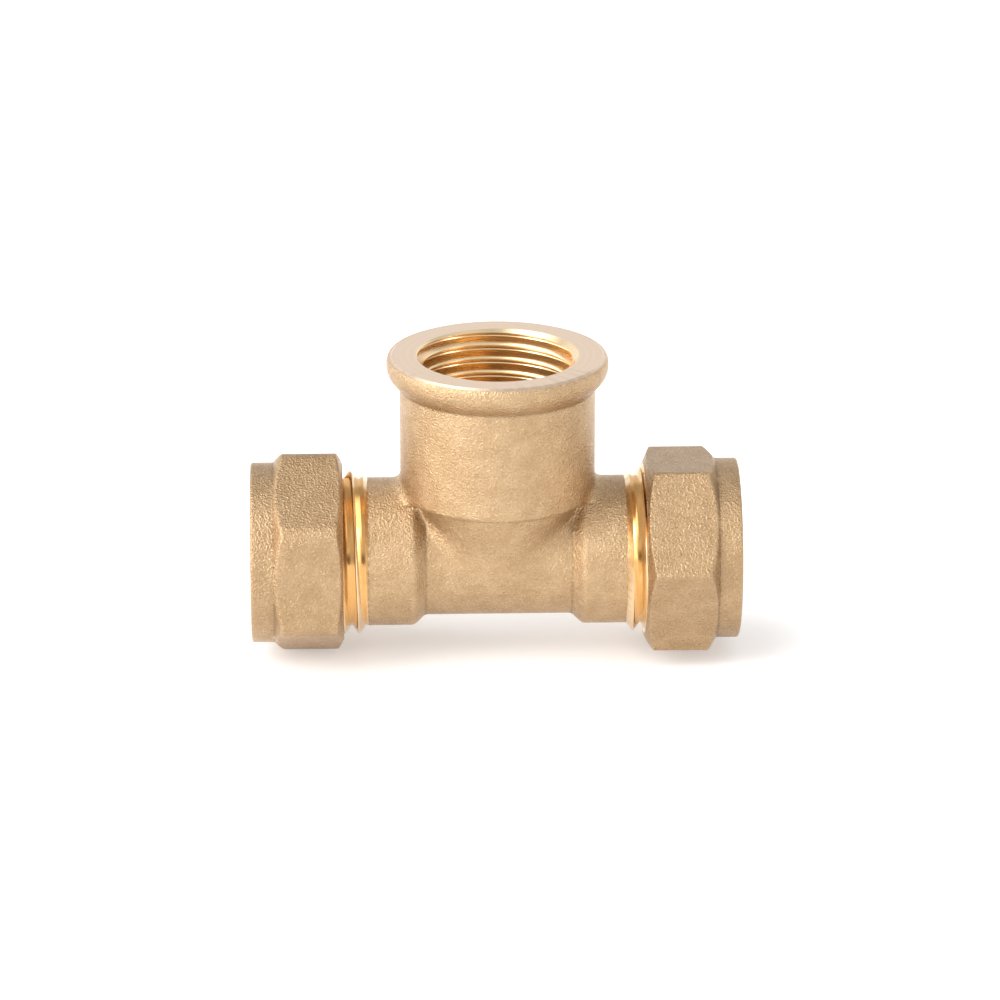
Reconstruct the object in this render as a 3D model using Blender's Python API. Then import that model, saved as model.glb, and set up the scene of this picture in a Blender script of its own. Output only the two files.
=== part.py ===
"""Brass compression tee: two arms for 15 mm tube in line, and a G1/2 female branch.

The run lies along X and the branch points up +Z. The origin is on the branch axis,
level with the lowest corner of the nuts. Lengths are in millimetres, and become
metres where a mesh is made. Each arm is drawn along its own +X, from the branch axis
outwards, and the left arm's pieces are then turned half a turn about Z.
"""
import math

import bmesh
import bpy
from mathutils import Matrix

MM = 0.001
SEGMENTS = 32
WELD = 0.000001
SHARP_EDGE = math.radians(35)
OVERRUN = 1.0  # how far a cutter stands past the face it cuts

# Tube and thread standards
TUBE_D = 15.0
PITCH = 1.814
WHITWORTH_DEPTH = 0.6403  # thread depth as a share of the pitch
FLANK_ANGLE = math.radians(27.5)
BRANCH_THREAD_D = 20.955

# Clearances between pieces
SOCKET_PLAY = 0.05  # radial, tube in socket
OLIVE_PLAY = 0.10  # radial, tube in olive
NUT_PLAY = 0.20  # radial, tube in nut
THREAD_GAP = 0.20  # radial, nut thread over body thread
SEAT_GAP = 0.42  # along the run, olive to either cone
CORE_GAP = 0.30  # how far a hidden core stays inside the thread cut over it

# Body: the run
WATERWAY_D = 12.8
WAIST_WALL = 1.67
STEP_START = 9.15
STEP_LENGTH = 1.80
STOP_LAND = 1.25  # from the end of the step to the tube stop
NECK_LENGTH = 4.10  # from the tube stop to the thread
NECK_RISE = 0.08  # neck above the thread's root
SOCKET_WALL = 1.74
THREAD_LENGTH = 6.80
THREAD_LEAD_IN = 0.80
MOUTH_CONE_DEPTH = 1.25

# Body: the branch
BRANCH_HEIGHT = 26.08
BRANCH_BORE_D = 12.0
BOSS_WALL = 1.77
BOSS_FOOT_DROP = 0.17  # boss foot below the top of the waist
BOSS_FOOT_EDGE = 0.25
SADDLE_INSET = 0.50
SADDLE_BITE = 0.10  # how far the saddle cone runs into the waist
FLANGE_STEP = 1.64
FLANGE_RIM = 1.70  # top face to where the flange's underside begins
FLANGE_UNDERSIDE = 3.00
FLANGE_ROUND = 0.60
COUNTERSINK_D = 20.4
BRANCH_THREAD_LENGTH = 10.0
BRANCH_DRILL_DEPTH = 12.0

# Nuts
NUT_LENGTH = 11.95
NUT_WALL = 2.00  # end wall that bears on the olive
NUT_THREAD_WALL = 1.00
NUT_CORNER_ROUND = 1.20
NUT_FACE_INSET = 0.45  # inner face's edge inside the flats
COLLAR_LENGTH = 2.90
COLLAR_STEP = 0.24
COLLAR_EDGE = 0.35
CHAMFER_ANGLE = math.radians(30)
NUT_RELIEF = 1.80  # unthreaded length past the inner cone
NUT_LEAD_IN = 0.10
TIGHTEN_TRAVEL = {"right": 0.26, "left": 1.01}
NUT_TURN = {"right": math.radians(55), "left": math.radians(30)}

# Olives
OLIVE_LENGTH = 5.00
OLIVE_NOSE_WALL = 0.35
OLIVE_WALL = 1.05
OLIVE_TAPER = 1.50

# Where each arm's thread starts on its helix, along the arm
THREAD_START = {"right": 15.74, "left": 16.08}
BRANCH_THREAD_START = 15.00

ARM_TURN = {"right": 0.0, "left": math.pi}
UPRIGHT = (0.0, -math.pi / 2, 0.0)

# Worked out from the sizes above
thread_depth = WHITWORTH_DEPTH * PITCH
waterway_r = WATERWAY_D / 2
waist_r = waterway_r + WAIST_WALL
socket_r = TUBE_D / 2 + SOCKET_PLAY
thread_root_r = socket_r + SOCKET_WALL
thread_crest_r = thread_root_r + thread_depth
neck_r = thread_root_r + NECK_RISE
step_end = STEP_START + STEP_LENGTH
tube_stop = step_end + STOP_LAND
neck_end = tube_stop + NECK_LENGTH
body_end = neck_end + THREAD_LENGTH
mouth_r = socket_r + MOUTH_CONE_DEPTH

branch_crest_r = BRANCH_THREAD_D / 2
branch_minor_r = branch_crest_r - thread_depth
boss_r = branch_crest_r + BOSS_WALL
boss_foot = waist_r - BOSS_FOOT_DROP
flange_r = boss_r + FLANGE_STEP

olive_bore_r = TUBE_D / 2 + OLIVE_PLAY
olive_nose_r = olive_bore_r + OLIVE_NOSE_WALL
olive_r = olive_bore_r + OLIVE_WALL

nut_bore_r = TUBE_D / 2 + NUT_PLAY
nut_minor_r = thread_root_r + THREAD_GAP
nut_crest_r = thread_crest_r + THREAD_GAP
nut_flat_r = nut_crest_r + NUT_THREAD_WALL
nut_corner_r = nut_flat_r / math.cos(math.pi / 6)
collar_r = nut_flat_r - COLLAR_STEP
corner_cut = NUT_CORNER_ROUND * (1 / math.cos(math.pi / 6) - 1)
run_height = nut_corner_r - corner_cut


def olive_seat():
    """How far out the olive's nose would touch the body's mouth cone."""
    return body_end - (mouth_r - olive_nose_r)


def olive_nose(side):
    """Distance of an olive's nose from the branch axis, at rest."""
    return olive_seat() + SEAT_GAP + TIGHTEN_TRAVEL[side]


def nut_end(side):
    """Distance of a nut's outer face from the branch axis, at rest."""
    return olive_nose(side) + OLIVE_LENGTH + SEAT_GAP + NUT_WALL


def clear_scene():
    for item in list(bpy.data.objects):
        bpy.data.objects.remove(item, do_unlink=True)


def brass(name, colour, roughness):
    """A brass finish with one colour and one roughness."""
    finish = bpy.data.materials.new(name)
    finish.use_nodes = True
    shader = finish.node_tree.nodes["Principled BSDF"]
    shader.inputs["Base Color"].default_value = (*colour, 1.0)
    shader.inputs["Metallic"].default_value = 1.0
    shader.inputs["Roughness"].default_value = roughness
    return finish


def add_object(name, shape):
    """Turn a bmesh into an object, with round faces shaded smooth."""
    bmesh.ops.recalc_face_normals(shape, faces=shape.faces)
    mesh = bpy.data.meshes.new(name)
    shape.to_mesh(mesh)
    shape.free()
    mesh.shade_smooth()
    mesh.set_sharp_from_angle(angle=SHARP_EDGE)
    item = bpy.data.objects.new(name, mesh)
    bpy.context.scene.collection.objects.link(item)
    return item


def combine(piece, helper, operation):
    """Join, cut or clip a piece with a helper that stays out of the model."""
    helper.hide_render = True
    helper.display_type = "WIRE"
    helper.parent = piece
    step = piece.modifiers.new(helper.name, "BOOLEAN")
    step.operation = operation
    step.solver = "EXACT"
    step.object = helper


def ogee(start, end, start_r, end_r, steps=5):
    """Points of a smooth S from one radius to another, without its first point."""
    points = []
    for step in range(1, steps + 1):
        share = step / steps
        blend = share * share * (3 - 2 * share)
        points.append((start + (end - start) * share, start_r + (end_r - start_r) * blend))
    return points


def turned(name, outline, ring=False):
    """Spin an (along, radius) outline about X; a ring's outline closes on itself."""
    shape = bmesh.new()
    verts = [shape.verts.new((along * MM, 0.0, radius * MM)) for along, radius in outline]
    edges = [shape.edges.new(pair) for pair in zip(verts, verts[1:])]
    if ring:
        edges.append(shape.edges.new((verts[-1], verts[0])))
    bmesh.ops.spin(
        shape, geom=verts + edges, cent=(0, 0, 0), axis=(1, 0, 0),
        angle=math.tau, steps=SEGMENTS, use_merge=True,
    )
    bmesh.ops.remove_doubles(shape, verts=shape.verts, dist=WELD)
    return add_object(name, shape)


def screw(name, start, end, root_r, crest_r, crest_at):
    """A solid right-hand screw along X that covers start to end.

    crest_at is a place along the axis where a crest crosses the +Y side. The ends
    are helical steps closed to the axis, to be clipped to shape afterwards.
    """
    flank = (crest_r - root_r) * math.tan(FLANK_ANGLE)
    flat = PITCH / 2 - flank
    profile = [(0.0, root_r), (flat, root_r), (flat + flank, crest_r)]
    profile += [(2 * flat + flank, crest_r), (PITCH, root_r)]
    crest_middle = 1.5 * flat + flank
    first = crest_at - crest_middle
    first -= math.ceil((first - start) / PITCH + 1) * PITCH
    turns = math.ceil((end - first) / PITCH)
    half_step = math.pi / SEGMENTS
    first += PITCH * half_step / math.tau

    shape = bmesh.new()
    verts = []
    for along, radius in profile:
        place = ((first + along) * MM, radius * math.cos(half_step) * MM,
                 radius * math.sin(half_step) * MM)
        verts.append(shape.verts.new(place))
    edges = [shape.edges.new(pair) for pair in zip(verts, verts[1:])]
    bmesh.ops.spin(
        shape, geom=verts + edges, cent=(0, 0, 0), axis=(1, 0, 0),
        dvec=(PITCH / SEGMENTS * MM, 0, 0), angle=math.tau * turns, steps=SEGMENTS * turns,
    )
    bmesh.ops.remove_doubles(shape, verts=shape.verts, dist=WELD)
    rims = [edge for edge in shape.edges if edge.is_boundary]
    ends = [first + PITCH / 2, first + (turns + 0.5) * PITCH]
    middle = sum(ends) / 2 * MM
    centres = [shape.verts.new((along * MM, 0, 0)) for along in ends]
    for rim in rims:
        near, far = rim.verts
        beyond = (near.co.x + far.co.x) / 2 > middle
        shape.faces.new((near, far, centres[beyond]))
    return add_object(name, shape)


def clipped_screw(name, start, end, root_r, crest_r, crest_at, outline):
    """A screw clipped to a turned outline that covers its wanted length."""
    thread = screw(name, start, end, root_r, crest_r, crest_at)
    combine(thread, turned(name + "_clip", outline), "INTERSECT")
    return thread


def run_blank():
    """The forged run: a waist, a smooth step to each neck, and cores for the threads."""
    core_r = thread_root_r - CORE_GAP
    core_end = body_end - OVERRUN
    half = [(STEP_START, waist_r)] + ogee(STEP_START, step_end, waist_r, neck_r)
    half += [(neck_end, neck_r), (neck_end, core_r), (core_end, core_r), (core_end, 0.0)]
    other_half = [(-along, radius) for along, radius in reversed(half)]
    return turned("tee_body", other_half + half)


def saddle_end():
    """Height and radius where the saddle cone meets the waist's side."""
    top_r = boss_r - SADDLE_INSET
    reach = math.hypot(top_r, boss_foot)
    meet_r = waist_r - SADDLE_BITE
    angle = math.atan2(boss_foot, top_r) - math.acos(meet_r / reach)
    return meet_r * math.sin(angle), meet_r * math.cos(angle)


def boss_blank():
    """The branch boss from its saddle up to its flange, along its own axis."""
    low, low_r = saddle_end()
    underside = BRANCH_HEIGHT - FLANGE_RIM
    outline = [
        (low, 0.0), (low, low_r), (boss_foot, boss_r - SADDLE_INSET),
        (boss_foot, boss_r - BOSS_FOOT_EDGE), (boss_foot + BOSS_FOOT_EDGE, boss_r),
        (underside - FLANGE_UNDERSIDE, boss_r),
    ]
    outline += ogee(underside - FLANGE_UNDERSIDE, underside, boss_r, flange_r)
    for step in range(4):
        turn = step / 3 * math.pi / 2
        along = BRANCH_HEIGHT - FLANGE_ROUND * (1 - math.sin(turn))
        outline.append((along, flange_r - FLANGE_ROUND * (1 - math.cos(turn))))
    outline.append((BRANCH_HEIGHT, 0.0))
    boss = turned("boss", outline)
    boss.rotation_euler = UPRIGHT
    return boss


def arm_thread(side):
    """One arm's external thread, with its run-out cone and its chamfered end."""
    start = neck_end - CORE_GAP
    crest = thread_crest_r + THREAD_GAP / 2
    low_r = thread_root_r - CORE_GAP
    outline = [
        (start, 0.0), (start, low_r), (start + (crest - low_r) * THREAD_LEAD_IN, crest),
        (body_end - THREAD_LEAD_IN, crest), (body_end, crest - THREAD_LEAD_IN), (body_end, 0.0),
    ]
    thread = clipped_screw(
        side + "_arm_thread", start, body_end, thread_root_r, thread_crest_r,
        THREAD_START[side], outline,
    )
    thread.rotation_euler.z = ARM_TURN[side]
    return thread


def run_bore():
    """The waterway along the run, a socket for each tube and the cones for the olives."""
    half = [
        (tube_stop, waterway_r), (tube_stop, socket_r), (body_end - MOUTH_CONE_DEPTH, socket_r),
        (body_end + OVERRUN, mouth_r + OVERRUN), (body_end + OVERRUN, 0.0),
    ]
    other_half = [(-along, radius) for along, radius in reversed(half)]
    return turned("run_bore", other_half + half)


def branch_bore():
    """The branch's countersink, its drilled hole and the waterway down to the run."""
    drill_r = branch_minor_r - CORE_GAP / 6
    countersink_r = COUNTERSINK_D / 2
    floor = BRANCH_HEIGHT - BRANCH_DRILL_DEPTH
    outline = [
        (0.0, 0.0), (0.0, BRANCH_BORE_D / 2), (floor, BRANCH_BORE_D / 2), (floor, drill_r),
        (BRANCH_HEIGHT - (countersink_r - drill_r), drill_r),
        (BRANCH_HEIGHT + OVERRUN, countersink_r + OVERRUN), (BRANCH_HEIGHT + OVERRUN, 0.0),
    ]
    bore = turned("branch_bore", outline)
    bore.rotation_euler = UPRIGHT
    return bore


def branch_thread():
    """The branch's internal thread, tapering out at its deep end."""
    top = BRANCH_HEIGHT + OVERRUN
    deep = BRANCH_HEIGHT - BRANCH_THREAD_LENGTH
    wide = branch_crest_r + CORE_GAP
    low_r = branch_minor_r - CORE_GAP
    outline = [
        (deep, 0.0), (deep, low_r), (deep + wide - low_r, wide), (top, wide), (top, 0.0),
    ]
    thread = clipped_screw(
        "branch_thread", deep, top, branch_minor_r, branch_crest_r, BRANCH_THREAD_START, outline,
    )
    thread.rotation_euler = UPRIGHT
    return thread


def make_body(finish):
    body = run_blank()
    body.location.z = run_height * MM
    combine(body, boss_blank(), "UNION")
    for side in ARM_TURN:
        combine(body, arm_thread(side), "UNION")
    combine(body, run_bore(), "DIFFERENCE")
    combine(body, branch_bore(), "DIFFERENCE")
    combine(body, branch_thread(), "DIFFERENCE")
    body.data.materials.append(finish)


def nut_blank(side):
    """A turned nut with its collar, chamfers, bore and cavity, before its flats are cut."""
    outer = nut_end(side)
    inner = outer - NUT_LENGTH
    shoulder = outer - COLLAR_LENGTH
    face_r = nut_flat_r - NUT_FACE_INSET
    lead_in_r = nut_crest_r + NUT_LEAD_IN
    core_r = nut_minor_r - CORE_GAP / 2
    cavity_r = nut_minor_r + CORE_GAP / 2
    cone_end = outer - NUT_WALL - (cavity_r - olive_nose_r)
    slope = math.tan(CHAMFER_ANGLE)
    outline = [
        (inner, lead_in_r), (inner, face_r),
        (inner + (nut_corner_r - face_r) * slope, nut_corner_r),
        (shoulder - (nut_corner_r - collar_r) * slope, nut_corner_r),
        (shoulder, collar_r), (outer - COLLAR_EDGE, collar_r), (outer, collar_r - COLLAR_EDGE),
        (outer, nut_bore_r), (outer - NUT_WALL, nut_bore_r), (outer - NUT_WALL, olive_nose_r),
        (cone_end, cavity_r), (cone_end - NUT_RELIEF, cavity_r), (cone_end - NUT_RELIEF, core_r),
        (inner + lead_in_r - core_r, core_r),
    ]
    return turned(side + "_nut", outline, ring=True)


def hexagon(side):
    """A bar of hexagon section with rounded corners, long enough to take in one nut."""
    shape = bmesh.new()
    bmesh.ops.create_cone(
        shape, cap_ends=True, segments=6, radius1=nut_corner_r * MM, radius2=nut_corner_r * MM,
        depth=(NUT_LENGTH + 2 * OVERRUN) * MM, matrix=Matrix.Rotation(math.pi / 2, 4, "Y"),
    )
    corners = [edge for edge in shape.edges if abs(edge.verts[0].co.x - edge.verts[1].co.x) > WELD]
    bmesh.ops.bevel(
        shape, geom=corners, offset=NUT_CORNER_ROUND * math.tan(math.pi / 6) * MM,
        segments=2, profile=0.5, affect="EDGES",
    )
    bar = add_object(side + "_flats", shape)
    bar.location.x = (nut_end(side) - NUT_LENGTH / 2) * MM
    bar.rotation_euler.x = NUT_TURN[side]
    return bar


def nut_thread(side):
    """The nut's internal thread, cut in step with the arm's own thread."""
    outer = nut_end(side)
    inner = outer - NUT_LENGTH
    deep = outer - NUT_WALL - NUT_RELIEF - (nut_minor_r - olive_nose_r)
    wide = nut_crest_r + CORE_GAP
    low_r = nut_minor_r - CORE_GAP
    outline = [
        (inner - OVERRUN, 0.0), (inner - OVERRUN, wide), (deep - (wide - low_r), wide),
        (deep, low_r), (deep, 0.0),
    ]
    return clipped_screw(
        side + "_nut_thread", inner - OVERRUN, deep, nut_minor_r, nut_crest_r,
        THREAD_START[side], outline,
    )


def make_nut(side, finish):
    nut = nut_blank(side)
    nut.location.z = run_height * MM
    nut.rotation_euler.z = ARM_TURN[side]
    combine(nut, hexagon(side), "INTERSECT")
    combine(nut, nut_thread(side), "DIFFERENCE")
    nut.data.materials.append(finish)


def make_olive(side, finish):
    """The compression ring, thin at both ends and thick along its middle."""
    nose = olive_nose(side)
    tail = nose + OLIVE_LENGTH
    outline = [
        (nose, olive_bore_r), (nose, olive_nose_r), (nose + OLIVE_TAPER, olive_r),
        (tail - OLIVE_TAPER, olive_r), (tail, olive_nose_r), (tail, olive_bore_r),
    ]
    olive = turned(side + "_olive", outline, ring=True)
    olive.location.z = run_height * MM
    olive.rotation_euler.z = ARM_TURN[side]
    olive.data.materials.append(finish)


def main():
    clear_scene()
    forged = brass("forged_brass", (0.71, 0.52, 0.29), 0.42)
    turned_brass = brass("nut_brass", (0.66, 0.47, 0.25), 0.40)
    soft = brass("olive_brass", (0.72, 0.50, 0.24), 0.30)
    make_body(forged)
    for side in ARM_TURN:
        make_olive(side, soft)
        make_nut(side, turned_brass)


main()
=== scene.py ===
"""Brass compression tee: the finished look of its body, nuts and olives.

The run lies along X and the branch points up +Z. Lengths are in millimetres, and
become metres where a mesh is made. Each arm is drawn along its own +X and the left
arm's pieces are turned half a turn about the branch.
"""

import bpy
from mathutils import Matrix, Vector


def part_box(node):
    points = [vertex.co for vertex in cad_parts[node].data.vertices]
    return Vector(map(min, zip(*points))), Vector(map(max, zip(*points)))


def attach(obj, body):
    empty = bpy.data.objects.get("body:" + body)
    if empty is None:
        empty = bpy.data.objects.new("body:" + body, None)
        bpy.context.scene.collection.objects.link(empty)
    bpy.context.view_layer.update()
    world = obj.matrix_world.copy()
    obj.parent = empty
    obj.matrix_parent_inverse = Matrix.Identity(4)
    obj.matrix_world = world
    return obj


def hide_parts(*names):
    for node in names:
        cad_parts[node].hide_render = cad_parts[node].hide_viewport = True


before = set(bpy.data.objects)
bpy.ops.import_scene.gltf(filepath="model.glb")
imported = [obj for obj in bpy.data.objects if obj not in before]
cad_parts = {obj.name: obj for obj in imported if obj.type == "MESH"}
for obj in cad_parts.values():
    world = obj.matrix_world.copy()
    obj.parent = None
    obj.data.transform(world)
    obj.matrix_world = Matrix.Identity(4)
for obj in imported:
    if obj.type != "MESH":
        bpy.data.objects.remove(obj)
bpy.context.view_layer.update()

import math

import bmesh
import bpy
import numpy as np
from mathutils import Matrix, Vector

MM = 0.001
WELD = 0.0000005
OVERRUN = 1.0

# Smoothness of the finished surfaces
ROUND = 192
BLANK_ROUND = 96
RUN_STEPS = 24
BOSS_STEPS = 80
THREAD_ROUND = 144
THREAD_POINTS = 16
CORNER_STEPS = 8
FLAT_STEPS = 24
FORGING_GRAIN = 0.24

# How far a cutting tool stands off the surface that it leaves
TOOL_GAP = 0.3
TOOL_WIDE = 3
ROOT_OVERLAP = 0.15

# Threads
PITCH = 1.814
THREAD_DEPTH = 1.162
THREAD_GAP = 0.20
THREAD_START = {"right": 15.74, "left": 16.08}
BRANCH_THREAD_START = 14.25
BRANCH_CREST_R = 10.478
# Share of a pitch taken by the flat at the root, and where the flank meets the crest
ARM_FORM = (0.0, 0.97)
BRANCH_FORM = (0.06, 0.92)

# Body: the run, as radii and as distances from the branch axis
WATERWAY_R = 6.40
SOCKET_R = 7.55
WAIST_R = 8.07
THREAD_ROOT_R = 9.29
NECK_R = 9.37
STEP_START = 9.15
STEP_END = 10.95
TUBE_STOP = 12.20
NECK_END = {"right": 16.30, "left": 16.68}
NECK_CHAMFER = 0.22
MOUTH_CONE_DEPTH = 1.25
LEAD_IN = 0.80
RUN_OUT_LENGTH = 0.6
RUN_OUT_SLOPE = 0.75

# Body: the branch, as heights above the run's axis
BRANCH_BORE_R = 6.0
BOSS_R = 12.25
BOSS_FOOT = 7.90
FOOT_ROUND = 0.85
FOOT_STEP = 1.05
FLANGE_R = 13.89
FLANGE_RIM = 1.20
FLANGE_UNDERSIDE = 2.65
FLANGE_CORNER = 0.30
RIM_DEPTH = 0.95
RIM_INSET = 0.62
FACE_EDGE = 0.12
COUNTERSINK_R = 10.20
COUNTERSINK_SLOPE = 0.72
THREAD_LENGTH = 10.0
DRILL_DEPTH = 12.0
DRILL_CLEARANCE = 0.05
DRILL_STEP = 0.8
SADDLE_BITE = 0.10
FILLET = 1.50

# Nuts and olives
NUT_BORE_R = 7.70
NUT_WALL = 2.00
NUT_FACE_SETBACK = {"right": 0.05, "left": 0.35}
NUT_FLAT_R = 11.62
CORNER_ROUND = {"right": 0.70, "left": 2.40}
FACE_R = 11.20
FACE_CHAMFER = {"right": 23.0, "left": 19.0}
COLLAR_R = 11.37
COLLAR_LENGTH = 2.90
COLLAR_ROUND = 0.35
FACE_ROUND = 0.18
RELIEF_LENGTH = 1.8
NUT_RIM = 0.25
EDGE_SOFTNESS = {"right": 0.32, "left": 0.60}
CHAMFER = math.tan(math.radians(30))
OLIVE_R = 8.65
OLIVE_BORE_R = 7.60
OLIVE_NOSE_R = 7.95
OLIVE_TAPER = 1.50
OLIVE_EDGE = 0.06
OLIVE_BEND = 1.6

ARM_TURN = {"right": 0.0, "left": math.pi}
NUT_TURN = {"right": math.radians(55), "left": math.radians(30)}
UPRIGHT = Matrix.Rotation(-math.pi / 2, 4, "Y")

# Places read from the frame
run_height = sum(corner.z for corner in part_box("right_olive")) / 2 / MM
branch_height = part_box("tee_body")[1].z / MM - run_height
body_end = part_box("tee_body")[1].x / MM
nut_span = {
    "right": (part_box("right_nut")[0].x / MM + NUT_FACE_SETBACK["right"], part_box("right_nut")[1].x / MM),
    "left": (-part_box("left_nut")[1].x / MM + NUT_FACE_SETBACK["left"], -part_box("left_nut")[0].x / MM),
}
olive_span = {
    "right": (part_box("right_olive")[0].x / MM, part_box("right_olive")[1].x / MM),
    "left": (-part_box("left_olive")[1].x / MM, -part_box("left_olive")[0].x / MM),
}


# ---------------------------------------------------------------- finishes

def new_group(name, inputs, outputs):
    """A shader node group with named number inputs and the given outputs."""
    group = bpy.data.node_groups.new(name, "ShaderNodeTree")
    for label, value in inputs:
        socket = group.interface.new_socket(label, in_out="INPUT", socket_type="NodeSocketFloat")
        socket.default_value = value
    for label, kind in outputs:
        group.interface.new_socket(label, in_out="OUTPUT", socket_type=kind)
    return group


def add(tree, kind, **values):
    """Add a node, setting inputs by their label and anything else as a property."""
    node = tree.nodes.new(kind)
    for key, value in values.items():
        label = key.replace("_", " ")
        if label in node.inputs:
            node.inputs[label].default_value = value
        else:
            setattr(node, key, value)
    return node


def math_node(tree, operation, first, second=None):
    """A Math node fed by sockets or by plain numbers."""
    node = tree.nodes.new("ShaderNodeMath")
    node.operation = operation
    for place, value in enumerate((first, second)):
        if value is None:
            continue
        if isinstance(value, (int, float)):
            node.inputs[place].default_value = value
        else:
            tree.links.new(value, node.inputs[place])
    return node.outputs[0]


def ramp(tree, value, low, high):
    """Stretch a value so that low becomes 0 and high becomes 1, with soft ends."""
    node = tree.nodes.new("ShaderNodeMapRange")
    node.interpolation_type = "SMOOTHSTEP"
    node.inputs["From Min"].default_value = low
    node.inputs["From Max"].default_value = high
    tree.links.new(value, node.inputs["Value"])
    return node.outputs["Result"]


def blasted_grain():
    """The fine dimples that shot blasting leaves, with a broad mottling under them."""
    tree = new_group(
        "blasted grain", [("Dimples per mm", 3.2), ("Mottle", 0.5)],
        [("Height", "NodeSocketFloat"), ("Tone", "NodeSocketFloat"), ("Glint", "NodeSocketFloat")],
    )
    source = tree.nodes.new("NodeGroupInput")
    result = tree.nodes.new("NodeGroupOutput")
    place = tree.nodes.new("ShaderNodeTexCoord").outputs["Object"]
    rate = math_node(tree, "MULTIPLY", source.outputs["Dimples per mm"], 1 / MM)

    dimple = add(tree, "ShaderNodeTexVoronoi", feature="SMOOTH_F1", Smoothness=0.6)
    tree.links.new(place, dimple.inputs["Vector"])
    tree.links.new(rate, dimple.inputs["Scale"])
    grit = add(tree, "ShaderNodeTexNoise", Detail=3.0, Roughness=0.62)
    tree.links.new(place, grit.inputs["Vector"])
    tree.links.new(math_node(tree, "MULTIPLY", rate, 0.85), grit.inputs["Scale"])
    broad = add(tree, "ShaderNodeTexNoise", Detail=3.0, Roughness=0.55)
    tree.links.new(place, broad.inputs["Vector"])
    tree.links.new(math_node(tree, "MULTIPLY", rate, 0.09), broad.inputs["Scale"])

    height = math_node(tree, "MULTIPLY", dimple.outputs["Distance"], 0.55)
    height = math_node(tree, "ADD", height, grit.outputs["Fac"])
    tree.links.new(height, result.inputs["Height"])
    fine = ramp(tree, grit.outputs["Fac"], 0.38, 0.63)
    wide = ramp(tree, broad.outputs["Fac"], 0.32, 0.70)
    wide = math_node(tree, "MULTIPLY", wide, source.outputs["Mottle"])
    tone = math_node(tree, "ADD", math_node(tree, "MULTIPLY", fine, 0.5), wide)
    tree.links.new(tone, result.inputs["Tone"])
    tree.links.new(ramp(tree, height, 0.62, 0.95), result.inputs["Glint"])
    return tree


def turning_marks():
    """Fine rings left by a lathe tool, round the X axis or round the branch axis."""
    tree = new_group(
        "turning marks", [("Rings per mm", 6.0), ("Upright", 0.0), ("Waver", 0.15)],
        [("Height", "NodeSocketFloat"), ("Tone", "NodeSocketFloat")],
    )
    source = tree.nodes.new("NodeGroupInput")
    result = tree.nodes.new("NodeGroupOutput")
    place = tree.nodes.new("ShaderNodeTexCoord").outputs["Object"]
    split = tree.nodes.new("ShaderNodeSeparateXYZ")
    tree.links.new(place, split.inputs[0])
    x, y, z = split.outputs
    level = math_node(tree, "SUBTRACT", z, run_height * MM)
    side = math_node(tree, "POWER", math_node(tree, "ABSOLUTE", y), 2.0)
    tall = math_node(tree, "POWER", math_node(tree, "ABSOLUTE", level), 2.0)
    wide = math_node(tree, "POWER", math_node(tree, "ABSOLUTE", x), 2.0)
    from_run = math_node(tree, "SQRT", math_node(tree, "ADD", side, tall))
    from_branch = math_node(tree, "SQRT", math_node(tree, "ADD", side, wide))
    run_mark = math_node(tree, "ADD", x, from_run)
    up_mark = math_node(tree, "ADD", level, from_branch)
    up_share = source.outputs["Upright"]
    run_share = math_node(tree, "SUBTRACT", 1.0, up_share)
    mark = math_node(tree, "ADD", math_node(tree, "MULTIPLY", run_mark, run_share),
                     math_node(tree, "MULTIPLY", up_mark, up_share))
    waver = add(tree, "ShaderNodeTexNoise", Scale=0.35 / MM, Detail=2.0)
    tree.links.new(place, waver.inputs["Vector"])
    drift = math_node(tree, "MULTIPLY", waver.outputs["Fac"], source.outputs["Waver"])
    mark = math_node(tree, "ADD", mark, math_node(tree, "MULTIPLY", drift, MM))
    rate = math_node(tree, "MULTIPLY", source.outputs["Rings per mm"], 1 / MM)
    count = math_node(tree, "MULTIPLY", mark, rate)
    lines = add(tree, "ShaderNodeTexNoise", noise_dimensions="1D", Scale=1.0, Detail=3.0, Roughness=0.6)
    tree.links.new(count, lines.inputs["W"])
    tree.links.new(lines.outputs["Fac"], result.inputs["Height"])
    tree.links.new(ramp(tree, lines.outputs["Fac"], 0.3, 0.7), result.inputs["Tone"])
    return tree


def edge_wear_and_painted_light():
    """From the surface's own bend: raised edges, lightened for wear and a painted highlight, and creases,
    darkened as painted shade.
    """
    tree = new_group(
        "edge wear and painted light", [("Reach", 0.04)], [("Worn and highlit", "NodeSocketFloat"), ("Painted crease shade", "NodeSocketFloat")],
    )
    source = tree.nodes.new("NodeGroupInput")
    result = tree.nodes.new("NodeGroupOutput")
    bend = tree.nodes.new("ShaderNodeNewGeometry").outputs["Pointiness"]
    out = math_node(tree, "DIVIDE", math_node(tree, "SUBTRACT", bend, 0.5), source.outputs["Reach"])
    into = math_node(tree, "DIVIDE", math_node(tree, "SUBTRACT", 0.5, bend), source.outputs["Reach"])
    tree.links.new(ramp(tree, out, 0.15, 1.0), result.inputs["Worn and highlit"])
    tree.links.new(ramp(tree, into, 0.15, 1.0), result.inputs["Painted crease shade"])
    return tree


GRAIN = blasted_grain()
MARKS = turning_marks()
EDGE_WEAR_AND_LIGHT = edge_wear_and_painted_light()


def place_group(tree, group, **values):
    """Put a shared group into a material, with its inputs set by their label."""
    node = tree.nodes.new("ShaderNodeGroup")
    node.node_tree = group
    for key, value in values.items():
        node.inputs[key.replace("_", " ")].default_value = value
    return node


def blend_colour(tree, amount, first, second):
    """Mix two colours, each a socket or a plain colour, by an amount."""
    node = tree.nodes.new("ShaderNodeMix")
    node.data_type = "RGBA"
    tree.links.new(amount, node.inputs[0])
    for place, value in ((6, first), (7, second)):
        if isinstance(value, tuple):
            node.inputs[place].default_value = (*value, 1.0)
        else:
            tree.links.new(value, node.inputs[place])
    return node.outputs[2]


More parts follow.
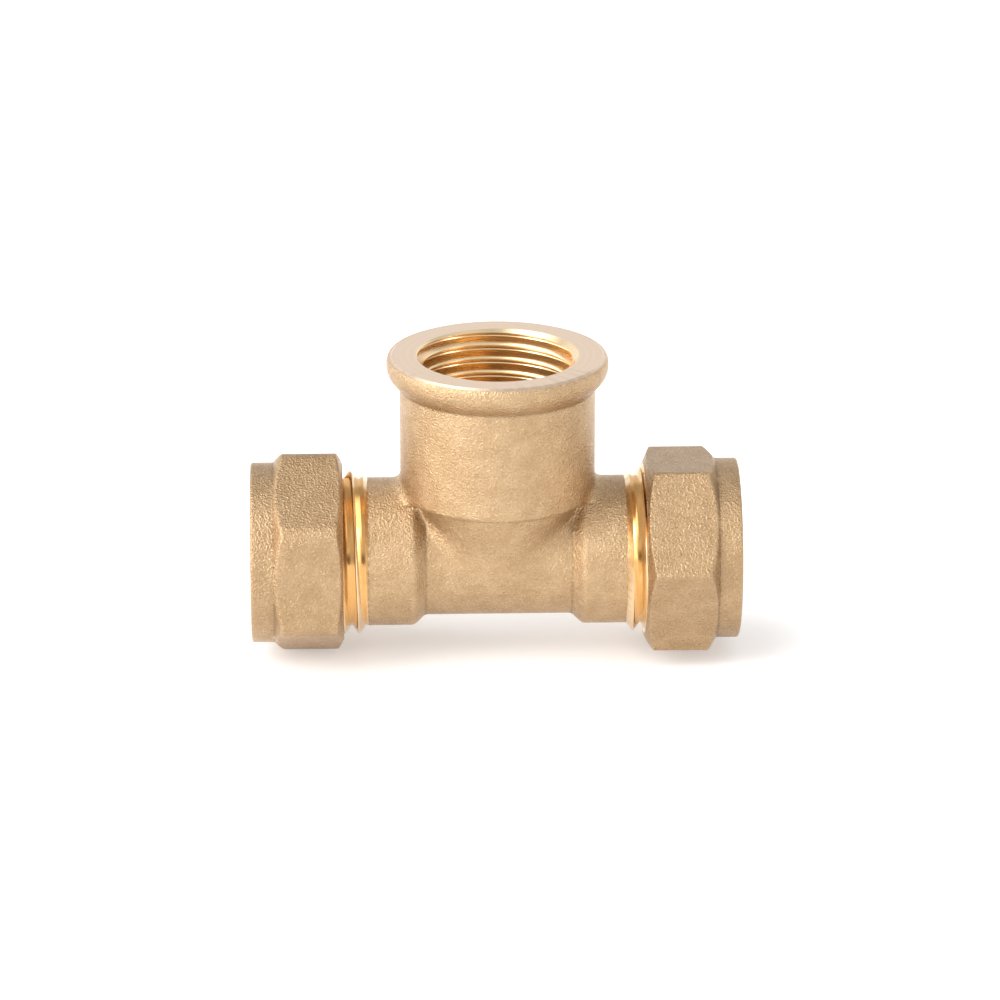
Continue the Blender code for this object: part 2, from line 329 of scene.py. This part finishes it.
def blend_value(tree, amount, first, second):
    """Mix two values, each a socket or a plain number, by an amount."""
    node = tree.nodes.new("ShaderNodeMix")
    tree.links.new(amount, node.inputs[0])
    for place, value in ((2, first), (3, second)):
        if isinstance(value, float):
            node.inputs[place].default_value = value
        else:
            tree.links.new(value, node.inputs[place])
    return node.outputs[0]


def start_metal(name):
    """A metal material and its node tree, ready for colour, roughness and bump."""
    finish = bpy.data.materials.new(name)
    finish.use_nodes = True
    shader = finish.node_tree.nodes["Principled BSDF"]
    shader.inputs["Metallic"].default_value = 1.0
    return finish, finish.node_tree, shader


def blasted_brass(name, deep, pale, rough, dimples, bump, mottle=0.5):
    """Shot-blasted brass: dimpled and satin, its raised edges lightened for wear and a painted highlight,
    its creases darkened with painted shade.
    """
    finish, tree, shader = start_metal(name)
    grain = place_group(tree, GRAIN, Dimples_per_mm=dimples, Mottle=mottle)
    edges = place_group(tree, EDGE_WEAR_AND_LIGHT, Reach=0.035)
    colour = blend_colour(tree, grain.outputs["Tone"], deep, pale)
    # Raised edges blend towards a paler colour: partly wear, partly a painted highlight.
    glow = tuple(min(1.0, part * 1.13 + 0.03) for part in pale)
    worn_and_highlit = math_node(tree, "MULTIPLY", edges.outputs["Worn and highlit"], 0.35)
    colour = blend_colour(tree, worn_and_highlit, colour, glow)
    # Creases blend towards a darker colour: painted shade.
    crease_shade_colour = tuple(part * 0.60 for part in deep)
    colour = blend_colour(tree, math_node(tree, "MULTIPLY", edges.outputs["Painted crease shade"], 0.8), colour, crease_shade_colour)
    tree.links.new(colour, shader.inputs["Base Color"])
    roughness = blend_value(tree, grain.outputs["Glint"], rough + 0.05, rough - 0.10)
    roughness = blend_value(tree, worn_and_highlit, roughness, rough - 0.10)
    tree.links.new(roughness, shader.inputs["Roughness"])
    relief = add(tree, "ShaderNodeBump", Strength=bump, Distance=0.17 * MM)
    tree.links.new(grain.outputs["Height"], relief.inputs["Height"])
    tree.links.new(relief.outputs["Normal"], shader.inputs["Normal"])
    return finish


def turned_brass(name, deep, pale, rough, rings, bump, upright=0.0):
    """Brass as a lathe tool leaves it: bright, with fine rings."""
    finish, tree, shader = start_metal(name)
    marks = place_group(tree, MARKS, Rings_per_mm=rings, Upright=upright)
    edges = place_group(tree, EDGE_WEAR_AND_LIGHT, Reach=0.05)
    colour = blend_colour(tree, marks.outputs["Tone"], deep, pale)
    # Raised edges blend towards a paler colour: partly wear, partly a painted highlight.
    worn_and_highlit = math_node(tree, "MULTIPLY", edges.outputs["Worn and highlit"], 0.5)
    colour = blend_colour(tree, worn_and_highlit, colour, tuple(min(1.0, part * 1.1 + 0.05) for part in pale))
    tree.links.new(colour, shader.inputs["Base Color"])
    tree.links.new(blend_value(tree, marks.outputs["Tone"], rough + 0.04, rough - 0.03),
                   shader.inputs["Roughness"])
    relief = add(tree, "ShaderNodeBump", Strength=bump, Distance=0.02 * MM)
    tree.links.new(marks.outputs["Height"], relief.inputs["Height"])
    tree.links.new(relief.outputs["Normal"], shader.inputs["Normal"])
    return finish


FORGED = blasted_brass("blasted forging", (0.455, 0.300, 0.162), (0.585, 0.410, 0.243), 0.36, 4.5, 1.0)
NUT_SKIN = blasted_brass("blasted nut", (0.40, 0.262, 0.141), (0.515, 0.353, 0.205), 0.36, 4.4, 1.0)
FACED = turned_brass("faced rim", (0.70, 0.525, 0.375), (0.79, 0.62, 0.475), 0.34, 5.0, 0.60, upright=1.0)
ARM_THREAD = turned_brass("cut arm thread", (0.80, 0.57, 0.31), (0.89, 0.67, 0.42), 0.16, 7.0, 0.20)
# Paler than the other cut brass: painted light, brightening the shaded inside of the mouth and its
# countersink.
MOUTH_THREAD = turned_brass("cut branch thread", (0.88, 0.63, 0.35), (0.96, 0.73, 0.46), 0.24, 7.0, 0.20,
                            upright=1.0)
BORED = turned_brass("bored socket", (0.76, 0.50, 0.22), (0.86, 0.61, 0.31), 0.24, 6.0, 0.25)
NUT_CUT = turned_brass("cut nut face", (0.74, 0.47, 0.21), (0.85, 0.59, 0.30), 0.24, 6.0, 0.25)
OLIVE_SKIN = turned_brass("turned olive", (0.74, 0.48, 0.21), (0.86, 0.61, 0.30), 0.22, 8.0, 0.22)


# ---------------------------------------------------------------- shapes

def add_object(name, shape, finish, sharp=30):
    """Turn a bmesh into an object with one finish, smooth except at sharp edges."""
    bmesh.ops.recalc_face_normals(shape, faces=shape.faces)
    mesh = bpy.data.meshes.new(name)
    shape.to_mesh(mesh)
    shape.free()
    item = bpy.data.objects.new(name, mesh)
    bpy.context.scene.collection.objects.link(item)
    mesh.materials.append(finish)
    smooth(item, sharp)
    return item


def smooth(item, sharp=30):
    item.data.shade_smooth()
    item.data.set_sharp_from_angle(angle=math.radians(sharp))


def even_shading(item):
    """Let large flat faces keep their own direction where they meet small ones."""
    step = item.modifiers.new("even shading", "WEIGHTED_NORMAL")
    step.mode = "FACE_AREA"
    step.keep_sharp = True


def combine(piece, tool, operation):
    """Apply a Boolean at once, keeping the tool's finish, and stop if it changes nothing."""
    step = piece.modifiers.new("combine", "BOOLEAN")
    step.operation = operation
    step.solver = "MANIFOLD"
    step.material_mode = "TRANSFER"
    step.object = tool
    bpy.context.view_layer.update()
    graph = bpy.context.evaluated_depsgraph_get()
    made = bpy.data.meshes.new_from_object(piece.evaluated_get(graph))
    piece.modifiers.clear()
    old = piece.data
    if len(made.polygons) == len(old.polygons):
        raise RuntimeError(operation + " of " + tool.name + " changed nothing on " + piece.name)
    piece.data = made
    bpy.data.meshes.remove(old)
    bpy.data.objects.remove(tool, do_unlink=True)


def arc(centre, radius, start, end, steps=6):
    """Points (along, radius) round a corner, with angles in degrees from +along."""
    points = []
    for step in range(steps + 1):
        angle = math.radians(start + (end - start) * step / steps)
        points.append((centre[0] + radius * math.cos(angle), centre[1] + radius * math.sin(angle)))
    return points


def turned(name, outline, finish, ring=False, segments=ROUND):
    """Spin an (along, radius) outline about X into a closed solid.

    An outline starts and ends on the axis, unless it is a ring, which closes on itself.
    """
    shape = bmesh.new()
    verts = [shape.verts.new((along * MM, 0.0, radius * MM)) for along, radius in outline]
    edges = [shape.edges.new(pair) for pair in zip(verts, verts[1:])]
    if ring:
        edges.append(shape.edges.new((verts[-1], verts[0])))
    bmesh.ops.spin(
        shape, geom=verts + edges, cent=(0, 0, 0), axis=(1, 0, 0),
        angle=math.tau, steps=segments, use_merge=True,
    )
    bmesh.ops.remove_doubles(shape, verts=shape.verts, dist=WELD)
    return add_object(name, shape, finish)


def thread_share(share, form):
    """Height of a thread's form, 0 at its root and 1 at its crest, over one pitch."""
    root, crest = form
    wave = 1 - abs(2 * share - 1)
    lift = min(max((wave - root) / (crest - root), 0.0), 1.0)
    return lift + 0.25 * (lift * lift * (3 - 2 * lift) - lift)


def screw(name, start, end, root_r, crest_r, crest_at, finish, form=ARM_FORM):
    """A solid right-hand screw along X; a crest crosses its +Y side at crest_at."""
    first = crest_at - PITCH / 2
    first -= math.ceil((first - start) / PITCH + 1) * PITCH
    turns = math.ceil((end - first) / PITCH)
    shape = bmesh.new()
    verts = []
    for point in range(THREAD_POINTS + 1):
        share = point / THREAD_POINTS
        radius = root_r + (crest_r - root_r) * thread_share(share, form)
        verts.append(shape.verts.new(((first + share * PITCH) * MM, radius * MM, 0.0)))
    edges = [shape.edges.new(pair) for pair in zip(verts, verts[1:])]
    bmesh.ops.spin(
        shape, geom=verts + edges, cent=(0, 0, 0), axis=(1, 0, 0),
        dvec=(PITCH / THREAD_ROUND * MM, 0, 0), angle=math.tau * turns,
        steps=THREAD_ROUND * turns,
    )
    bmesh.ops.remove_doubles(shape, verts=shape.verts, dist=10 * WELD)
    rims = [edge for edge in shape.edges if edge.is_boundary]
    ends = [first + PITCH / 2, first + (turns + 0.5) * PITCH]
    middle = sum(ends) / 2 * MM
    centres = [shape.verts.new((along * MM, 0, 0)) for along in ends]
    for rim in rims:
        near, far = rim.verts
        beyond = (near.co.x + far.co.x) / 2 > middle
        shape.faces.new((near, far, centres[beyond]))
    return add_object(name, shape, finish)


def set_in_place(item, turn=Matrix.Identity(4)):
    """Turn a piece drawn along +X into its arm or branch, and lift it to the run's axis."""
    item.data.transform(Matrix.Translation((0, 0, run_height * MM)) @ turn)
    return item


def arm_matrix(side):
    return Matrix.Rotation(ARM_TURN[side], 4, "Z")


# ---------------------------------------------------------------- body

def ease(share):
    share = np.clip(share, 0.0, 1.0)
    return share * share * (3 - 2 * share)


def run_radius(along):
    """Radius of the forged run, with a tight inner and a full outer corner at each step."""
    share = np.clip((np.abs(along) - STEP_START) / (STEP_END - STEP_START), 0.0, 1.0)
    rise = (ease(share) + np.sin(share * math.pi / 2)) / 2
    return WAIST_R + (NECK_R - WAIST_R) * rise


def saddle_end():
    """Height and radius where the saddle cone meets the waist's side."""
    top_r = BOSS_R - FOOT_STEP
    meet_r = WAIST_R - SADDLE_BITE
    angle = math.atan2(BOSS_FOOT, top_r) - math.acos(meet_r / math.hypot(top_r, BOSS_FOOT))
    return meet_r * math.sin(angle), meet_r * math.cos(angle)


def quarter_round(share):
    """Height of a quarter round, from 0 at share 0 to 1 at share 1."""
    share = np.clip(share, 0.0, 1.0)
    return np.sqrt(1.0 - (1.0 - share) ** 2)


def soft_least(first, second, reach):
    """The lesser of two fields, rounded where they cross."""
    share = np.clip(0.5 + 0.5 * (second - first) / reach, 0.0, 1.0)
    return second + (first - second) * share - reach * share * (1 - share)


def boss_radius(height):
    """Radius of the forged boss at a height: saddle cone, foot, wall and flange."""
    low, low_r = saddle_end()
    top_r = BOSS_R - FOOT_STEP
    cone = low_r + (top_r - low_r) * (height - low) / (BOSS_FOOT - low)
    foot = BOSS_R - FOOT_ROUND * (1 - quarter_round((height - BOSS_FOOT) / FOOT_ROUND))
    radius = np.where(height < BOSS_FOOT, cone, foot)
    share = np.maximum((branch_height - FLANGE_RIM - height) / FLANGE_UNDERSIDE, 0.0)
    flange = FLANGE_R - (FLANGE_R - BOSS_R) * share ** 2.2
    radius = -soft_least(-radius, -flange, FLANGE_CORNER)
    return radius - RIM_INSET * (1 - quarter_round((branch_height - height) / RIM_DEPTH))


def forging_field(points):
    """How far points lie outside the forged blank, in millimetres."""
    x, y, z = points.T
    run = np.hypot(y, z) - run_radius(x)
    boss = np.hypot(x, y) - boss_radius(z)
    below = saddle_end()[0] - z
    boss = np.maximum(boss, below)
    return soft_least(run, boss, FILLET)


def settle(points, rounds=6):
    """Move points onto the forged blank's surface."""
    nudge = 0.01
    for _ in range(rounds):
        level = forging_field(points)
        slope = np.empty_like(points)
        for axis in range(3):
            step = np.zeros(3)
            step[axis] = nudge
            slope[:, axis] = (forging_field(points + step) - forging_field(points - step)) / (2 * nudge)
        size = np.maximum((slope * slope).sum(1), 0.25)
        move = -(level / size)[:, None] * slope
        length = np.linalg.norm(move, axis=1, keepdims=True)
        points = points + move * np.minimum(1.0, 0.3 / np.maximum(length, 1e-9))
    return points


def forged_blank():
    """The hot-stamped blank: run, saddle, boss and flange in one skin with soft corners."""
    reach = max(NECK_END.values()) + OVERRUN + 0.5
    half = []
    for step in range(1, RUN_STEPS + 1):
        along = reach * step / RUN_STEPS
        half.append((along, float(run_radius(along))))
    outline = [(-reach, 0.0)] + [(-along, radius) for along, radius in reversed(half)]
    outline += half + [(reach, 0.0)]
    blank = turned("tee_body_skin", outline, FORGED, segments=BLANK_ROUND)
    low = saddle_end()[0]
    top = branch_height + OVERRUN
    outline = [(low, 0.0)]
    for step in range(BOSS_STEPS + 1):
        height = low + (top - low) * step / BOSS_STEPS
        outline.append((height, float(boss_radius(np.float64(height)))))
    outline.append((top, 0.0))
    boss = turned("boss", outline, FORGED, segments=BLANK_ROUND)
    boss.data.transform(UPRIGHT)
    combine(blank, boss, "UNION")

    step = blank.modifiers.new("skin", "REMESH")
    step.mode = "VOXEL"
    step.voxel_size = FORGING_GRAIN * MM
    bpy.context.view_layer.update()
    graph = bpy.context.evaluated_depsgraph_get()
    made = bpy.data.meshes.new_from_object(blank.evaluated_get(graph))
    blank.modifiers.clear()
    blank.data = made
    count = len(made.vertices)
    places = np.empty(count * 3, np.float32)
    made.vertices.foreach_get("co", places)
    points = places.reshape(-1, 3).astype(float) / MM
    free = (np.abs(points[:, 0]) < reach - 0.4) & (points[:, 2] < top - 0.4)
    points[free] = settle(points[free])
    made.vertices.foreach_set("co", (points * MM).astype(np.float32).ravel())
    made.update()
    if not made.materials:
        made.materials.append(FORGED)
    smooth(blank)
    return blank


def neck_trim(side):
    """A cap that trims the forging square at a neck's end, with a slight chamfer."""
    end = NECK_END[side]
    near, far = end - NECK_CHAMFER - TOOL_GAP, end + OVERRUN * 4
    inner = end + ROOT_OVERLAP
    outline = [
        (inner, 0.0), (inner, THREAD_ROOT_R - ROOT_OVERLAP), (near, NECK_R + TOOL_GAP),
        (near, NECK_R + TOOL_WIDE), (far, NECK_R + TOOL_WIDE), (far, 0.0),
    ]
    cap = turned("neck_trim", outline, ARM_THREAD)
    cap.data.transform(arm_matrix(side))
    return cap


def facing_tool():
    """The tool that faces the flange flat and breaks its edge."""
    top = branch_height
    edge_r = FLANGE_R - RIM_INSET - FACE_EDGE
    outline = [
        (top, 0.0), (top, edge_r), (top - FACE_EDGE * 2, edge_r + FACE_EDGE * 3),
        (top, edge_r + FACE_EDGE * 8), (top + TOOL_WIDE, edge_r + TOOL_WIDE), (top + TOOL_WIDE, 0.0),
    ]
    tool = turned("facing_tool", outline, FACED)
    tool.data.transform(UPRIGHT)
    return tool


def arm_thread(side):
    """One arm's cut thread, from its run-out beside the neck to its chamfered end."""
    start = NECK_END[side] - RUN_OUT_LENGTH
    crest = THREAD_ROOT_R + THREAD_DEPTH
    thread = screw(side + "_arm_thread", start, body_end, THREAD_ROOT_R, crest,
                   THREAD_START[side], ARM_THREAD)
    wide = crest + 0.1
    low_r = THREAD_ROOT_R - TOOL_GAP
    outline = [
        (start, 0.0), (start, low_r), (start + (wide - low_r) * RUN_OUT_SLOPE + 0.1, wide),
        (body_end - LEAD_IN, wide), (body_end, wide - LEAD_IN), (body_end, 0.0),
    ]
    combine(thread, turned("clip", outline, ARM_THREAD), "INTERSECT")
    thread.data.transform(arm_matrix(side))
    return thread


def run_bore():
    mouth_r = SOCKET_R + MOUTH_CONE_DEPTH
    half = [
        (TUBE_STOP, WATERWAY_R), (TUBE_STOP, SOCKET_R), (body_end - MOUTH_CONE_DEPTH, SOCKET_R),
        (body_end + OVERRUN, mouth_r + OVERRUN), (body_end + OVERRUN, 0.0),
    ]
    outline = [(-along, radius) for along, radius in reversed(half)] + half
    return turned("run_bore", outline, BORED)


def branch_bore():
    drill_r = BRANCH_CREST_R - THREAD_DEPTH - DRILL_CLEARANCE
    floor = branch_height - DRILL_DEPTH
    outline = [
        (0.0, 0.0), (0.0, BRANCH_BORE_R), (floor, BRANCH_BORE_R), (floor - DRILL_STEP, drill_r),
        (branch_height - (COUNTERSINK_R - drill_r) * COUNTERSINK_SLOPE, drill_r),
        (branch_height + OVERRUN * COUNTERSINK_SLOPE, COUNTERSINK_R + OVERRUN),
        (branch_height + OVERRUN * COUNTERSINK_SLOPE, 0.0),
    ]
    bore = turned("branch_bore", outline, MOUTH_THREAD)
    bore.data.transform(UPRIGHT)
    return bore


def branch_thread():
    top = branch_height + OVERRUN
    deep = branch_height - THREAD_LENGTH
    minor_r = BRANCH_CREST_R - THREAD_DEPTH
    thread = screw("branch_thread", deep, top, minor_r, BRANCH_CREST_R, BRANCH_THREAD_START,
                   MOUTH_THREAD, BRANCH_FORM)
    wide = BRANCH_CREST_R + TOOL_GAP
    low_r = minor_r - TOOL_GAP
    outline = [(deep, 0.0), (deep, low_r), (deep + wide - low_r, wide), (top, wide), (top, 0.0)]
    combine(thread, turned("clip", outline, MOUTH_THREAD), "INTERSECT")
    thread.data.transform(UPRIGHT)
    return thread


def make_body():
    body = forged_blank()
    for side in ARM_TURN:
        combine(body, neck_trim(side), "DIFFERENCE")
        combine(body, arm_thread(side), "UNION")
    combine(body, facing_tool(), "DIFFERENCE")
    combine(body, run_bore(), "DIFFERENCE")
    combine(body, branch_bore(), "DIFFERENCE")
    combine(body, branch_thread(), "DIFFERENCE")
    smooth(body)
    even_shading(body)
    set_in_place(body)
    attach(body, "tee")
    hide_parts("tee_body")


# ---------------------------------------------------------------- nuts and olives

def hexagon_turns(corner_round):
    """Angles round a nut, close together at its rounded corners."""
    centre = (NUT_FLAT_R - corner_round) / math.cos(math.pi / 6)
    flat_half = math.atan2(centre * 0.5, NUT_FLAT_R)
    turns = []
    for corner in range(6):
        start = corner * math.pi / 3
        corner_half = math.pi / 6 - flat_half
        for step in range(CORNER_STEPS):
            turns.append(start - corner_half + 2 * corner_half * step / CORNER_STEPS)
        for step in range(FLAT_STEPS):
            turns.append(start + corner_half + 2 * flat_half * step / FLAT_STEPS)
    return np.array(turns)


def hexagon_radius(turn, corner_round):
    """Radius of a hexagon with rounded corners; a corner is at turn 0."""
    centre = (NUT_FLAT_R - corner_round) / math.cos(math.pi / 6)
    from_corner = np.abs((turn + math.pi / 6) % (math.pi / 3) - math.pi / 6)
    from_flat = math.pi / 6 - from_corner
    flat = NUT_FLAT_R / np.cos(from_flat)
    inside = np.maximum(corner_round ** 2 - (centre * np.sin(from_corner)) ** 2, 0.0)
    corner = centre * np.cos(from_corner) + np.sqrt(inside)
    on_flat = from_flat <= math.atan2(centre * 0.5, NUT_FLAT_R)
    return np.where(on_flat, flat, corner)


def spaced(start, end, count):
    """Points from one (along, radius) to another, without the first."""
    share = np.arange(1, count + 1)[:, None] / count
    return [tuple(point) for point in np.array(start) + (np.array(end) - np.array(start)) * share]


def nut_profile(length, face_chamfer):
    """The turned outline of a nut, closely spaced where it meets the flats."""
    wide = NUT_FLAT_R / math.cos(math.pi / 6) + TOOL_GAP
    shoulder = length - COLLAR_LENGTH
    points = [(0.0, FACE_R - 2.5), (0.0, FACE_R - FACE_ROUND)]
    points += arc((FACE_ROUND, FACE_R - FACE_ROUND), FACE_ROUND, 180, 120, 4)
    slope = math.tan(math.radians(face_chamfer))
    inner_end = (FACE_ROUND * 0.5 + (wide - FACE_R) * slope, wide)
    points += spaced(points[-1], inner_end, 26)
    outer_start = (shoulder - (wide - COLLAR_R) * CHAMFER, wide)
    points += spaced(inner_end, outer_start, 8)
    points += spaced(outer_start, (shoulder - 0.06, COLLAR_R + 0.10), 26)
    points += [(shoulder + 0.02, COLLAR_R + 0.03), (shoulder + 0.16, COLLAR_R)]
    points += spaced(points[-1], (length - COLLAR_ROUND, COLLAR_R), 3)
    points += arc((length - COLLAR_ROUND, COLLAR_R - COLLAR_ROUND), COLLAR_ROUND, 90, 0, 7)[1:]
    points.append((length, NUT_BORE_R + 0.5))
    return points


def nut_blank(side):
    """A nut before it is bored: flats, chamfers and collar in one skin."""
    inner, outer = nut_span[side]
    turns = hexagon_turns(CORNER_ROUND[side])
    flats = hexagon_radius(turns, CORNER_ROUND[side])
    shape = bmesh.new()
    rings = []
    for along, radius in nut_profile(outer - inner, FACE_CHAMFER[side]):
        round_here = np.full_like(flats, radius)
        reach = soft_least(round_here, flats, EDGE_SOFTNESS[side])
        ring = []
        for turn, size in zip(turns + NUT_TURN[side], reach):
            place = (inner + along, size * math.cos(turn), size * math.sin(turn))
            ring.append(shape.verts.new(Vector(place) * MM))
        rings.append(ring)
    count = len(turns)
    for near, far in zip(rings, rings[1:]):
        for place in range(count):
            after = (place + 1) % count
            shape.faces.new((near[place], near[after], far[after], far[place]))
    shape.faces.new(rings[0])
    shape.faces.new(rings[-1])
    return add_object(side + "_nut_skin", shape, NUT_SKIN)


def nut_bore(side):
    """The nut's tube hole, olive cone, cavity and mouth."""
    inner, outer = nut_span[side]
    core_r = THREAD_ROOT_R + THREAD_GAP - ROOT_OVERLAP
    cavity_r = core_r + 0.3
    mouth_r = THREAD_ROOT_R + THREAD_DEPTH + THREAD_GAP + 0.1
    cone_end = outer - NUT_WALL - (cavity_r - OLIVE_NOSE_R)
    relief_end = cone_end - RELIEF_LENGTH
    outline = [
        (outer + NUT_RIM, 0.0), (outer + NUT_RIM, NUT_BORE_R + 2 * NUT_RIM), (outer - NUT_RIM, NUT_BORE_R),
        (outer - NUT_WALL, NUT_BORE_R), (outer - NUT_WALL, OLIVE_NOSE_R),
        (cone_end, cavity_r), (relief_end, cavity_r), (relief_end, core_r),
        (inner + mouth_r - core_r, core_r), (inner - 0.2, mouth_r + 0.2), (inner - 0.2, 0.0),
    ]
    return turned("nut_bore", list(reversed(outline)), NUT_CUT)


def nut_thread(side):
    inner, outer = nut_span[side]
    minor_r = THREAD_ROOT_R + THREAD_GAP
    crest_r = minor_r + THREAD_DEPTH
    deep = outer - NUT_WALL - RELIEF_LENGTH - (minor_r - OLIVE_NOSE_R)
    thread = screw("nut_thread", inner - OVERRUN, deep, minor_r, crest_r, THREAD_START[side], NUT_CUT)
    wide = crest_r + TOOL_GAP
    low_r = minor_r - TOOL_GAP
    outline = [
        (inner - OVERRUN, 0.0), (inner - OVERRUN, wide), (deep - (wide - low_r), wide),
        (deep, low_r), (deep, 0.0),
    ]
    combine(thread, turned("clip", outline, NUT_CUT), "INTERSECT")
    return thread


def make_nut(side):
    nut = nut_blank(side)
    combine(nut, nut_bore(side), "DIFFERENCE")
    combine(nut, nut_thread(side), "DIFFERENCE")
    smooth(nut)
    even_shading(nut)
    set_in_place(nut, arm_matrix(side))
    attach(nut, side + "_cap")
    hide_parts(side + "_nut")


def make_olive(side):
    """A compression ring with a soft shoulder at each taper."""
    nose, tail = olive_span[side]
    lean = math.degrees(math.atan2(OLIVE_R - OLIVE_NOSE_R, OLIVE_TAPER))
    reach = OLIVE_BEND * math.tan(math.radians(lean / 2))
    centre_r = OLIVE_R - OLIVE_BEND
    edge_r = OLIVE_NOSE_R - OLIVE_EDGE
    outline = [(nose, OLIVE_BORE_R), (nose, edge_r), (nose + OLIVE_EDGE, OLIVE_NOSE_R)]
    outline += arc((nose + OLIVE_TAPER + reach, centre_r), OLIVE_BEND, 90 + lean, 90, 5)
    outline += arc((tail - OLIVE_TAPER - reach, centre_r), OLIVE_BEND, 90, 90 - lean, 5)
    outline += [(tail - OLIVE_EDGE, OLIVE_NOSE_R), (tail, edge_r), (tail, OLIVE_BORE_R)]
    olive = turned(side + "_olive_skin", outline, OLIVE_SKIN, ring=True)
    set_in_place(olive, arm_matrix(side))
    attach(olive, side + "_ring")
    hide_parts(side + "_olive")


# ---------------------------------------------------------------- studio

# Brightness of each part of the room
BACKDROP = 1.0
CEILING = 0.54
FRONT_LIGHT = 0.95
FRONT_GAP = 0.18
LEFT_LIGHT = 2.80
RIGHT_LIGHT = 0.75
FLOOR_GLOW = 0.26
FLOOR_DROP = 0.2


def make_floor():
    """A plain white floor that shows as white and keeps a soft shadow."""
    shape = bmesh.new()
    bmesh.ops.create_grid(shape, x_segments=1, y_segments=1, size=3.0)
    paper = bpy.data.materials.new("white paper")
    paper.use_nodes = True
    tree = paper.node_tree
    shader = tree.nodes["Principled BSDF"]
    shader.inputs["Base Color"].default_value = (0.86, 0.86, 0.86, 1.0)
    shader.inputs["Roughness"].default_value = 0.9
    shader.inputs["Specular IOR Level"].default_value = 0.0
    path = tree.nodes.new("ShaderNodeLightPath")
    seen = math_node(tree, "MAXIMUM", path.outputs["Is Camera Ray"], path.outputs["Is Glossy Ray"])
    seen = math_node(tree, "MAXIMUM", seen, path.outputs["Is Transmission Ray"])
    glow = add(tree, "ShaderNodeEmission", Strength=FLOOR_GLOW)
    both = tree.nodes.new("ShaderNodeAddShader")
    tree.links.new(shader.outputs[0], both.inputs[0])
    tree.links.new(glow.outputs[0], both.inputs[1])
    mix = tree.nodes.new("ShaderNodeMixShader")
    tree.links.new(seen, mix.inputs[0])
    tree.links.new(shader.outputs[0], mix.inputs[1])
    tree.links.new(both.outputs[0], mix.inputs[2])
    tree.links.new(mix.outputs[0], tree.nodes["Material Output"].inputs["Surface"])
    floor = add_object("floor", shape, paper)
    floor.location.z = -FLOOR_DROP * MM


def make_world():
    """A pale studio: white behind, large softboxes left and right, a dim gap in front."""
    world = bpy.data.worlds.new("studio")
    world.use_nodes = True
    bpy.context.scene.world = world
    tree = world.node_tree
    tree.nodes.clear()
    place = tree.nodes.new("ShaderNodeTexCoord")
    split = tree.nodes.new("ShaderNodeSeparateXYZ")
    tree.links.new(place.outputs["Generated"], split.inputs[0])
    x, y, z = split.outputs
    left = math_node(tree, "MULTIPLY", x, -1.0)
    front = math_node(tree, "MULTIPLY", y, -1.0)

    over_camera = ramp(tree, z, 0.18, 0.34)
    ahead = blend_value(tree, over_camera, FRONT_GAP, FRONT_LIGHT)
    ahead = blend_value(tree, ramp(tree, z, 0.88, 0.98), ahead, CEILING)
    behind = blend_value(tree, ramp(tree, z, 0.50, 0.66), BACKDROP, CEILING)
    level = blend_value(tree, ramp(tree, front, -0.10, 0.30), behind, ahead)
    overhead = ramp(tree, z, 0.50, 0.80)
    reach = ramp(tree, front, -0.55, -0.20)
    for side, glow in ((left, LEFT_LIGHT), (x, RIGHT_LIGHT)):
        wide = blend_value(tree, overhead, ramp(tree, side, 0.34, 0.66), ramp(tree, side, 0.12, 0.22))
        level = blend_value(tree, math_node(tree, "MULTIPLY", wide, reach), level, glow)
    room = add(tree, "ShaderNodeBackground")
    room.inputs["Color"].default_value = (1, 1, 1, 1)
    tree.links.new(level, room.inputs["Strength"])
    white = add(tree, "ShaderNodeBackground", Strength=1.0)
    white.inputs["Color"].default_value = (1, 1, 1, 1)
    path = tree.nodes.new("ShaderNodeLightPath")
    mix = tree.nodes.new("ShaderNodeMixShader")
    tree.links.new(path.outputs["Is Camera Ray"], mix.inputs[0])
    tree.links.new(room.outputs[0], mix.inputs[1])
    tree.links.new(white.outputs[0], mix.inputs[2])
    output = tree.nodes.new("ShaderNodeOutputWorld")
    tree.links.new(mix.outputs[0], output.inputs["Surface"])


def softbox(name, place, size, power, target=(0.0, 0.0, 0.018)):
    lamp = bpy.data.lights.new(name, "AREA")
    lamp.shape = "RECTANGLE"
    lamp.size, lamp.size_y = size
    lamp.energy = power
    item = bpy.data.objects.new(name, lamp)
    bpy.context.scene.collection.objects.link(item)
    item.location = place
    aim = Vector(target) - item.location
    item.rotation_euler = aim.to_track_quat("-Z", "Y").to_euler()


def make_lights():
    softbox("left_softbox", (-0.60, -0.40, 0.35), (0.30, 0.50), 2.5)
    softbox("right_softbox", (0.70, -0.30, 0.30), (0.25, 0.45), 1.2)


# The camera: angles in degrees, distances in millimetres from the branch axis
CAMERA_TURN = -1.8
CAMERA_LIFT = 20.3
CAMERA_DISTANCE = 670.0
CAMERA_AIM = (0.325, 0.0, 6.70)
LENS_SHARE = 5.3147  # focal length over sensor width


def make_camera():
    lens = bpy.data.cameras.new("camera")
    lens.sensor_width = 36.0
    lens.lens = lens.sensor_width * LENS_SHARE
    turn, lift = math.radians(CAMERA_TURN), math.radians(CAMERA_LIFT)
    back = Vector((math.sin(turn) * math.cos(lift), -math.cos(turn) * math.cos(lift), math.sin(lift)))
    aim = Vector(CAMERA_AIM) * MM + Vector((0, 0, run_height * MM))
    item = bpy.data.objects.new("camera", lens)
    bpy.context.scene.collection.objects.link(item)
    item.location = aim + back * CAMERA_DISTANCE * MM
    item.rotation_euler = (-back).to_track_quat("-Z", "Y").to_euler()
    bpy.context.scene.camera = item


make_body()
for arm in ARM_TURN:
    make_nut(arm)
    make_olive(arm)
make_floor()
make_world()
make_lights()
make_camera()
bpy.context.scene.view_settings.view_transform = "Standard"
